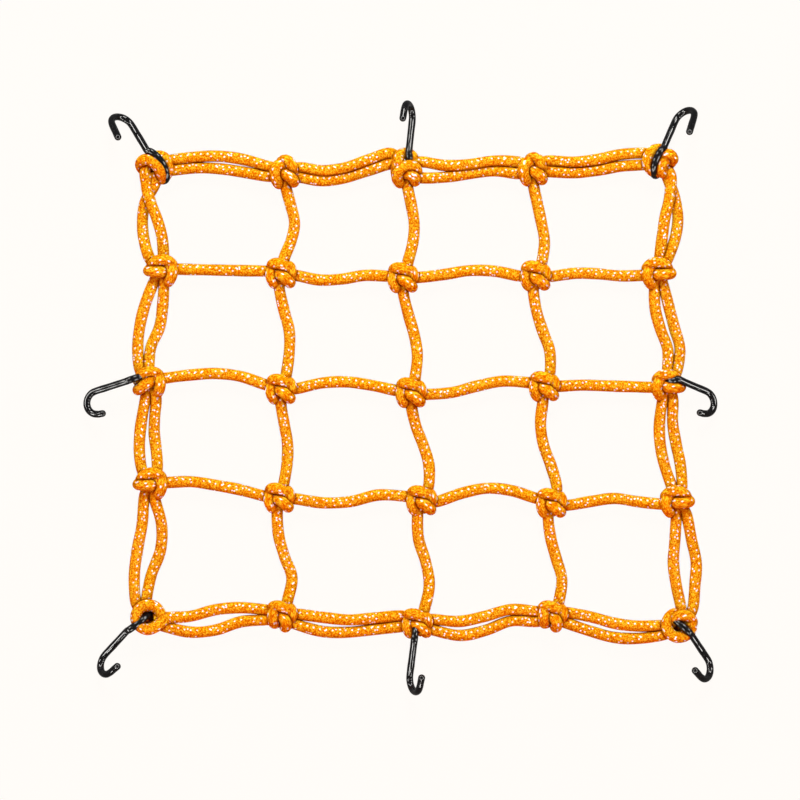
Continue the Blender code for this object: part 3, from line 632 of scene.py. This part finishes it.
def eye_places(neck, heading, turn, fall, lean, length):
    """The eye: most of a drop-shaped loop, from its free end inside the knot to the neck."""
    g = heading + pi + radians(turn)
    f = radians(fall)
    inward = np.array([cos(g) * cos(f), sin(g) * cos(f), -sin(f)])
    level = np.array([sin(g), -cos(g), 0.0])
    top = np.cross(level, inward)
    upper = top * cos(radians(lean)) + level * sin(radians(lean))
    angle = np.linspace(2 * pi - EYE_OPENING, EYE_CLOSING, EYE_PLACES)
    reach = length * (1.0 - np.cos(angle)) / 2
    width = EYE_HALF_WIDTH * np.sin(angle) * np.sin(angle / 2) ** EYE_FULLNESS
    return [neck + inward * r + upper * w for r, w in zip(reach, width)]


def hook_places(x, y, heading, side, roll, fall, leg, *eye):
    """Route of a hook's wire in millimetres, resting on the surface: eye, neck, shank, J, leg."""
    h = radians(heading)
    out = np.array([cos(h) * cos(radians(fall)), sin(h) * cos(radians(fall)), -sin(radians(fall))])
    level = side * np.array([-sin(h), cos(h), 0.0])
    lift = np.cross(out, level) * side
    turned = level * cos(radians(roll)) + lift * sin(radians(roll))
    neck = np.array([x, y, 0.0]) - out * (SHANK_LENGTH + BEND_RADIUS) - turned * BEND_RADIUS
    neck[2] = WIRE_RADIUS + sin(radians(fall)) * (SHANK_LENGTH + BEND_RADIUS)
    bend_start = neck + out * SHANK_LENGTH
    middle = bend_start + turned * BEND_RADIUS
    sweep = np.radians(np.linspace(0.0, BEND_ANGLE, BEND_PLACES))
    bend = [middle + BEND_RADIUS * (out * sin(a) - turned * cos(a)) for a in sweep]
    leg_way = out * cos(sweep[-1]) + turned * sin(sweep[-1])
    shank = [neck + out * distance for distance in SHANK_PLACES]
    legs = [bend[-1] + leg_way * (leg - WIRE_RADIUS) * share for share in (0.5, 1.0)]
    places = np.array([*eye_places(neck, h, *eye), neck, *shank, *bend, *legs])
    places[:, 2] += WIRE_RADIUS - places[:, 2].min()
    return places


print("a hook reaches", round(float(hook_places(*HOOKS["hook_top_left"])[:, 2].max()), 1), "mm up")

# %% [markdown]
# ## Tubes
# Cord and wire are both a circle carried along a route. Blender's curve bevel could do that, but
# worked out as arrays the tube also gets what its finish needs: a map that follows the cord, so
# that the braid turns with every bend, and how near each point is to the next cord.

# %% Rings along a route
STEEP = 0.9


def carried_sides(tangents):
    """Where each ring starts: the ring before it, turned only as far as the route turns."""
    steep = abs(tangents[0][2]) > STEEP
    side = np.array([1.0, 0.0, 0.0]) if steep else np.array([0.0, 0.0, -1.0])
    sides = []
    for tangent in tangents:
        side = side - tangent * (side @ tangent)
        side = side / np.linalg.norm(side)
        sides.append(side)
    return np.array(sides)


def tube_points(path, radii, sides):
    """Rings of points round a path, then the two ends' middles.

    Ring i, point j: centre i + radius i times (cos a * side i + sin a * up i), where a is j parts
    of a full turn and up is square to both the path and the side.
    """
    tangents = np.gradient(path, axis=0)
    tangents = tangents / np.linalg.norm(tangents, axis=1)[:, None]
    across = carried_sides(tangents)
    up = np.cross(tangents, across)
    turn = (2 * pi * np.arange(sides) / sides)[None, :, None]
    round_way = np.cos(turn) * across[:, None] + np.sin(turn) * up[:, None]
    rings = path[:, None] + radii[:, :, None] * round_way
    return np.vstack([rings.reshape(-1, 3), path[:1], path[-1:]])


def tube_faces(rows, sides):
    """Corner numbers: a quad between each two rings' neighbours, and triangles to the end points."""
    i, j = np.meshgrid(np.arange(rows - 1), np.arange(sides), indexing="ij")
    k = (j + 1) % sides
    quads = np.stack([i * sides + j, i * sides + k, (i + 1) * sides + k, (i + 1) * sides + j], -1)
    j = np.arange(sides)
    k = (j + 1) % sides
    first = rows * sides
    last = (rows - 1) * sides
    start = np.stack([np.full(sides, first), k, j], -1)
    end = np.stack([np.full(sides, first + 1), last + j, last + k], -1)
    return quads.reshape(-1, 4), np.vstack([start, end])


def tube_map(path, sides, start):
    """The map of each face's corners: turns round the tube, and length along it in cord's girths.

    Both run at the same scale on a cord, because one girth is 2 pi times its radius. The length
    counts from a start of its own for each tube, so that no two cords show the same yarns.
    """
    steps = np.linalg.norm(np.diff(path, axis=0), axis=1)
    along = start + np.concatenate([[0.0], np.cumsum(steps)]) / (2 * pi * CORD_RADIUS)
    i, j = np.meshgrid(np.arange(len(path) - 1), np.arange(sides), indexing="ij")
    low = along[i]
    high = along[i + 1]
    left = j / sides
    right = (j + 1) / sides
    quads = np.stack([left, low, right, low, right, high, left, high], -1).reshape(-1, 2)
    ends = np.zeros((6 * sides, 2))
    return np.vstack([quads, ends])


print("a tube of 3 rings of 8 has", sum(len(part) for part in tube_faces(3, 8)), "faces")

# %% [markdown]
# ## Painted shade in the creases
# Where two cords press together the gap between them is a thin dark line of shade. Light bouncing
# in the render gives some of it, and the rest is painted shade: every point stores how close it is
# to the nearest other cord or wire, and the material darkens it by that.

# %% Routes of everything
STRAND_STEP = 0.8
TURN_STEP = 0.6
WIRE_STEP = 0.6
strand_routes = [smooth_path(strand_path(*row), STRAND_STEP) for row in STRANDS]
knot_routes = {
    name: [smooth_path(route, TURN_STEP) for route in knot_paths(name)] for name in KNOTS
}
hook_routes = {name: smooth_path(hook_places(*row), WIRE_STEP) for name, row in HOOKS.items()}
all_routes = [
    *((route, CORD_RADIUS) for route in strand_routes),
    *((route, CORD_RADIUS) for turns in knot_routes.values() for route in turns),
    *((route, WIRE_RADIUS) for route in hook_routes.values()),
]
station_place = np.vstack([route for route, _ in all_routes])
station_radius = np.concatenate([np.full(len(route), radius) for route, radius in all_routes])
station_route = np.concatenate([
    np.full(len(route), number) for number, (route, _) in enumerate(all_routes)
])
print("places on all routes:", len(station_place))

# %% [markdown]
# The distance from every point to every place would be a huge table, so each tube is only compared
# with the places in its own box.

# %% Closeness
# how far from another cord the painted crease shade reaches, in millimetres
CREASE_REACH = 1.5
NEAR = 2 * CORD_RADIUS + CREASE_REACH
MERGING = 0.85


def painted_crease_shade(points, outward, route):
    """Painted shade: 1 where a point touches another cord, falling to 0 where the gap is the
    crease's reach.

    The gap is the distance to the other cord's middle line, less that cord's radius. It counts in
    full where the two surfaces face each other or cross, and not where they run into one.
    """
    number = next(k for k, (other, _) in enumerate(all_routes) if other is route)
    inside = np.all(
        (station_place > points.min(axis=0) - NEAR) & (station_place < points.max(axis=0) + NEAR),
        axis=1,
    )
    close = inside & (station_route != number)
    if not close.any():
        return np.zeros(len(points))
    squares = (
        (points**2).sum(axis=1)[:, None]
        + (station_place[close] ** 2).sum(axis=1)[None]
        - 2 * points @ station_place[close].T
    )
    gaps = np.sqrt(np.clip(squares, 0.0, None)) - station_radius[close]
    nearest = gaps.argmin(axis=1)
    gap = gaps[np.arange(len(points)), nearest]
    away = points - station_place[close][nearest]
    away = away / np.linalg.norm(away, axis=1)[:, None]
    facing = np.clip((MERGING - (away * outward).sum(axis=1)) / MERGING, 0.0, 1.0)
    return np.clip(1.0 - gap / CREASE_REACH, 0.0, 1.0) * facing


print("crease reach:", CREASE_REACH, "mm")

# %% [markdown]
# ## One mesh from many tubes
# Tubes that belong together are one piece, for example all turns of one row of knots. Their arrays
# are stacked and handed to Blender at once.

# %% Meshes
CORD_SIDES = 30
WIRE_SIDES = 28
MAP_STRIDE = 7.37
FULLNESS = 0.018
WAVE_STEP = 0.13
SLOW_WAVE = 1.1
QUICK_WAVE = 2.3
QUICK_SHARE = 0.7


def cord_radii(path, seed):
    """Radius of each point of a cord: the plain one, a little fuller or thinner in slow waves.

    Two sines along the cord, one of them turning with the angle round it, of about 2 in 100.
    """
    along = np.arange(len(path))[:, None] * WAVE_STEP + seed
    round_way = 2 * pi * np.arange(CORD_SIDES)[None] / CORD_SIDES
    quick = np.sin(along * QUICK_WAVE + 2 * round_way + seed)
    return CORD_RADIUS * (1.0 + FULLNESS * (np.sin(along * SLOW_WAVE) + QUICK_SHARE * quick))


def build_tubes(name, tubes, sides, material, with_crease_shade=True):
    """A piece of closed tubes: (route, radii) pairs, with their map and, if asked, their painted
    crease shade.
    """
    points, quads, ends, maps, close = [], [], [], [], []
    first = 0
    for route, radii in tubes:
        skin = tube_points(route, radii, sides)
        middles = np.vstack([np.repeat(route, sides, axis=0), route[1:2], route[-2:-1]])
        outward = (skin - middles) / np.linalg.norm(skin - middles, axis=1)[:, None]
        skin[:, 2] = np.maximum(skin[:, 2], 0.0)
        four, three = tube_faces(len(route), sides)
        points.append(skin)
        quads.append(four + first)
        ends.append(three + first)
        maps.append(tube_map(route, sides, MAP_STRIDE * len(maps)))
        if with_crease_shade:
            close.append(painted_crease_shade(skin, outward, route))
        first += len(skin)
    faces = []
    for four, three in zip(quads, ends):
        faces += four.tolist() + three.tolist()
    mesh = bpy.data.meshes.new(name)
    mesh.from_pydata(np.vstack(points) * MM, [], faces)
    lay = mesh.uv_layers.new(name="lay")
    lay.uv.foreach_set("vector", np.vstack(maps).ravel())
    if with_crease_shade:
        crease_shade = mesh.attributes.new("crease_shade", "FLOAT", "POINT")
        crease_shade.data.foreach_set("value", np.concatenate(close))
    mesh.polygons.foreach_set("use_smooth", np.ones(len(mesh.polygons), bool))
    mesh.materials.append(material)
    return add_object(name, mesh)


print("sides of a cord:", CORD_SIDES)

# %% [markdown]
# ## The cord's finish
# The rubber core is covered by a braid of orange yarns that pass over and under each other at about
# half a right angle to the cord. The braid is drawn from two numbers, one for each way that the
# yarns run: how many yarns lie between a point and the seam. Their whole parts name the yarn, and
# their odd or even sum says which one lies on top. Silver yarns show as short bright dashes, in
# three rows along the cord and with a few strays. A grain of gold and deep orange lies over it all;
# the gold is partly the yarns' own tone and partly painted glints. The gaps between the yarns and
# the creases between cords get painted shade.

# %% Braid
YARNS = 18
BRAID_SLOPE = 0.9
SWAY = 0.5
SWAY_SCALE = 14.0
DIP = 0.75
SILVER_ROWS = 3
SILVER_SHIFT = 9
SILVER_STEP = 3
SILVER_GAPS = 0.12
SILVER_EDGE = 0.06
SILVER_METAL = 0.45
STRAY_LEVEL = 0.955
STRAY_EDGE = 0.15
SECOND_DRAW = 7.0
FIBRES_ACROSS = 5
FIBRES_ALONG = 0.8
FIBRE_SEED = 40
FIBRE_RELIEF = 0.35
ZONE_SCALE = 2.6
ZONE_PULL = 0.3
GRAIN_SCALE = 22.0
GRAIN_CONTRAST = 9
GOLD_AND_GLINT_YARNS = 0.84
DEEP_YARNS = 0.20
GOLD_AND_GLINT_GRAIN = 0.53
DEEP_GRAIN = 0.46
RELIEF_DEPTH = 0.35 * MM
CORD_ROUGHNESS = 0.50
DEEP_ORANGE = (0.43, 0.06, 0.0, 1.0)
ORANGE = (0.63, 0.245, 0.0, 1.0)
# gold: partly the yarns' own tone, partly painted glints
GOLD_TONE_AND_GLINT = (0.73, 0.55, 0.02, 1.0)
SILVER = (0.72, 0.75, 0.76, 1.0)
# brown of the painted shade where two cords touch
CREASE_SHADE_BROWN = (0.035, 0.004, 0.0, 1.0)


def braid_finish():
    """The braided orange cord: orange, then layers of colour over it, each with its own share."""
    g = Graph(bpy.data.materials.new("orange_braid"))
    lay = g.node("ShaderNodeUVMap", {"uv_map": "lay"}, {})
    turn = g.node("ShaderNodeSeparateXYZ", {}, {0: lay}, output=0)
    along = g.node("ShaderNodeSeparateXYZ", {}, {0: lay}, output=1)
    noise = g.node("ShaderNodeTexNoise", {}, {"Vector": lay, "Scale": SWAY_SCALE, "Detail": 1.0})
    sway = noise * SWAY
    p = (turn + along * BRAID_SLOPE) * YARNS + sway
    q = (turn - along * BRAID_SLOPE) * YARNS + sway
    p_yarn = p.math("FLOOR")
    q_yarn = q.math("FLOOR")
    p_on_top = (p_yarn + q_yarn) % 2 < 0.5
    across = p_on_top * (p % 1) + (1 - p_on_top) * (q % 1)
    length = p_on_top * (q % 1) + (1 - p_on_top) * (p % 1)
    crown = 1 - (2 * across - 1) ** 2
    dip = 1 - DIP * (2 * length - 1) ** 4
    relief = crown * dip
    cell = g.node("ShaderNodeCombineXYZ", {}, {0: p_yarn, 1: q_yarn})
    chance = g.node("ShaderNodeTexWhiteNoise", {"noise_dimensions": "3D"}, {"Vector": cell})
    other = g.node("ShaderNodeCombineXYZ", {}, {0: q_yarn, 1: p_yarn, 2: SECOND_DRAW})
    second = g.node("ShaderNodeTexWhiteNoise", {"noise_dimensions": "3D"}, {"Vector": other})
    row = (p_yarn + q_yarn + SILVER_SHIFT) % (2 * YARNS // SILVER_ROWS) < 0.5
    place = p_yarn % SILVER_STEP < 0.5
    silver = row * place * (second > SILVER_GAPS) * (relief > SILVER_EDGE)
    stray = p_on_top * (second > STRAY_LEVEL) * (relief > STRAY_EDGE)
    silver = silver.math("MAXIMUM", stray)
    on_yarn = g.node(
        "ShaderNodeCombineXYZ", {},
        {0: across * FIBRES_ACROSS, 1: length * FIBRES_ALONG, 2: chance * FIBRE_SEED},
    )
    fibre = g.node("ShaderNodeTexNoise", {}, {"Vector": on_yarn, "Scale": 1.0, "Detail": 2.0})
    # how much painted crease shade each point gets, as stored on the mesh
    crease_shade = g.node("ShaderNodeAttribute", {"attribute_name": "crease_shade"}, {}, output=2)
    zone = g.node("ShaderNodeTexNoise", {}, {"Vector": lay, "Scale": ZONE_SCALE, "Detail": 1.0})
    grain = g.node("ShaderNodeTexNoise", {}, {"Vector": lay, "Scale": GRAIN_SCALE, "Detail": 1.0})
    # where each layer lies, its last number being the most that it covers, then its colour
    layers = [
        # gold in yarns and grain: partly the yarns' own tone, partly painted glints
        ((chance + zone * ZONE_PULL > GOLD_AND_GLINT_YARNS) * 0.8, GOLD_TONE_AND_GLINT),
        ((chance < DEEP_YARNS) * 0.6, DEEP_ORANGE),
        (((grain - GOLD_AND_GLINT_GRAIN) * GRAIN_CONTRAST).math("MINIMUM", 0.75), GOLD_TONE_AND_GLINT),
        (((DEEP_GRAIN - grain) * GRAIN_CONTRAST).math("MINIMUM", 0.65), DEEP_ORANGE),
        # painted shade in the gaps between the yarns, darker where a yarn's crown falls away
        ((1 - relief) ** 2 * 0.7, DEEP_ORANGE),
        (silver, SILVER),
        # painted shade in the creases between cords: deep orange, then brown where they touch
        (crease_shade ** 0.8 * 0.75, DEEP_ORANGE),
        (crease_shade ** 2.0 * 0.96, CREASE_SHADE_BROWN),
    ]
    tint = ORANGE
    for share, color in layers:
        tint = g.blend(share, tint, color)
    skin = relief + fibre * FIBRE_RELIEF
    bump = g.node("ShaderNodeBump", {}, {"Height": skin, "Distance": RELIEF_DEPTH, "Strength": 1.0})
    g.feed(g.shader, {
        "Base Color": tint,
        "Roughness": CORD_ROUGHNESS - silver * 0.2 + fibre * 0.1,
        "Metallic": silver * SILVER_METAL,
        "Normal": bump,
        "Specular IOR Level": 0.0,
    })
    return g.owner


braid = braid_finish()
print("nodes in the braid:", len(braid.node_tree.nodes))

# %% [markdown]
# ## The hooks' finish
# The hooks are wire dipped in black plastic. The coat is glossy, so it shows as long white streaks
# on near black, and it is a little lumpy, so the streaks waver.

# %% Black coat
COAT_BLACK = (0.002, 0.002, 0.0025, 1.0)
WORN_BLACK = (0.02, 0.02, 0.022, 1.0)
DRAWN_SCALES = (7.0, 1.6, 1.0)
LUMP_SCALE = 320.0
LUMP_DEPTH = 0.25 * MM
LUMP_STRENGTH = 0.12
SCUFF_SCALE = 900.0
SCUFF_LEVEL = 0.64
COAT_ROUGHNESS = 0.03
COAT_SHINE = 0.28


def coat_finish():
    """The glossy black coat of the hooks."""
    g = Graph(bpy.data.materials.new("black_dipped_coat"))
    lay = g.node("ShaderNodeUVMap", {"uv_map": "lay"}, {})
    place = g.node("ShaderNodeTexCoord", {}, {}, output=3)
    drawn = g.node("ShaderNodeMapping", {}, {"Vector": lay, "Scale": DRAWN_SCALES})
    streak = g.node("ShaderNodeTexNoise", {}, {"Vector": drawn, "Scale": 1.0, "Detail": 3.0})
    lumps = g.node("ShaderNodeTexNoise", {}, {"Vector": place, "Scale": LUMP_SCALE, "Detail": 2.0})
    scuff = g.node("ShaderNodeTexNoise", {}, {"Vector": place, "Scale": SCUFF_SCALE, "Detail": 4.0})
    worn = (scuff > SCUFF_LEVEL) * 0.7
    bump = g.node(
        "ShaderNodeBump", {},
        {"Height": lumps + streak * 0.5, "Distance": LUMP_DEPTH, "Strength": LUMP_STRENGTH},
    )
    g.feed(g.shader, {
        "Base Color": g.blend(worn, COAT_BLACK, WORN_BLACK),
        "Roughness": COAT_ROUGHNESS + streak * 0.05 + worn * 0.2,
        "Normal": bump,
        "Specular IOR Level": COAT_SHINE,
    })
    return g.owner


coat = coat_finish()
print("nodes in the coat:", len(coat.node_tree.nodes))

# %% [markdown]
# ## The cords
# Now the pieces. The single cords are two pieces, one for each way that they run, and each edge
# with its pair of cords is a piece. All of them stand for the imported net.

# %% Cords
STRAND_SEED = 5.0
# name of the piece: its lines in the table of strands
CORD_PIECES = {
    "cords_down": slice(0, 12),
    "cords_across": slice(12, 24),
    "rim_top": slice(24, 32),
    "rim_left": slice(32, 40),
    "rim_right": slice(40, 48),
    "rim_bottom": slice(48, 56),
}


def place_piece(piece, node):
    """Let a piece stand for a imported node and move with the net."""
    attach(piece, "root")
    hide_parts(node)
    return len(piece.data.polygons)


for name, rows in CORD_PIECES.items():
    routes = strand_routes[rows]
    tubes = [(route, cord_radii(route, STRAND_SEED * k)) for k, route in enumerate(routes)]
    cords = build_tubes(name, tubes, CORD_SIDES, braid)
    print(name, place_piece(cords, "net"), "faces")

# %% [markdown]
# ## The knots
# One piece for each row of five knots. Their turns run into each other's inside, where nothing
# shows, just as the ends of a real knot are hidden.

# %% Knots' turns
TURN_SEED = 3.0
for row in "abcde":
    turns = [route for name in KNOTS if name[0] == row for route in knot_routes[name]]
    tubes = [(route, cord_radii(route, TURN_SEED * k)) for k, route in enumerate(turns)]
    knots = build_tubes(f"knots_row_{row}", tubes, CORD_SIDES, braid)
    print(knots.name, place_piece(knots, "net"), "faces")

# %% [markdown]
# ## The hooks
# The wire's free end is round, as half a ball: the route goes on by the sine of an angle while the
# radius falls with its cosine, so the steps get shorter there and keep the ball smooth.

# %% Wire hooks
TIP_STEPS = 9
TIP_ANGLE = 0.48 * pi
UNEVEN = 0.018
LONG_WAVE = 0.21
SHORT_WAVE = 0.47
SHORT_SHARE = 0.6
SHORT_START = 1.3


def tipped(route):
    """A wire's route with a round tip added, and the radius at each of its places."""
    way = route[-1] - route[-2]
    way = way / np.linalg.norm(way)
    angle = np.linspace(0.0, TIP_ANGLE, TIP_STEPS)[1:]
    tip = route[-1] + way * WIRE_RADIUS * np.sin(angle)[:, None]
    path = np.vstack([route, tip])
    radius = np.concatenate([np.full(len(route), WIRE_RADIUS), WIRE_RADIUS * np.cos(angle)])
    along = np.arange(len(path))
    wave = np.sin(along * LONG_WAVE) + SHORT_SHARE * np.sin(along * SHORT_WAVE + SHORT_START)
    return path, np.tile((radius * (1.0 + UNEVEN * wave))[:, None], WIRE_SIDES)


for name, route in hook_routes.items():
    hook = build_tubes(f"{name}_wire", [tipped(route)], WIRE_SIDES, coat, with_crease_shade=False)
    print(hook.name, place_piece(hook, name), "faces")
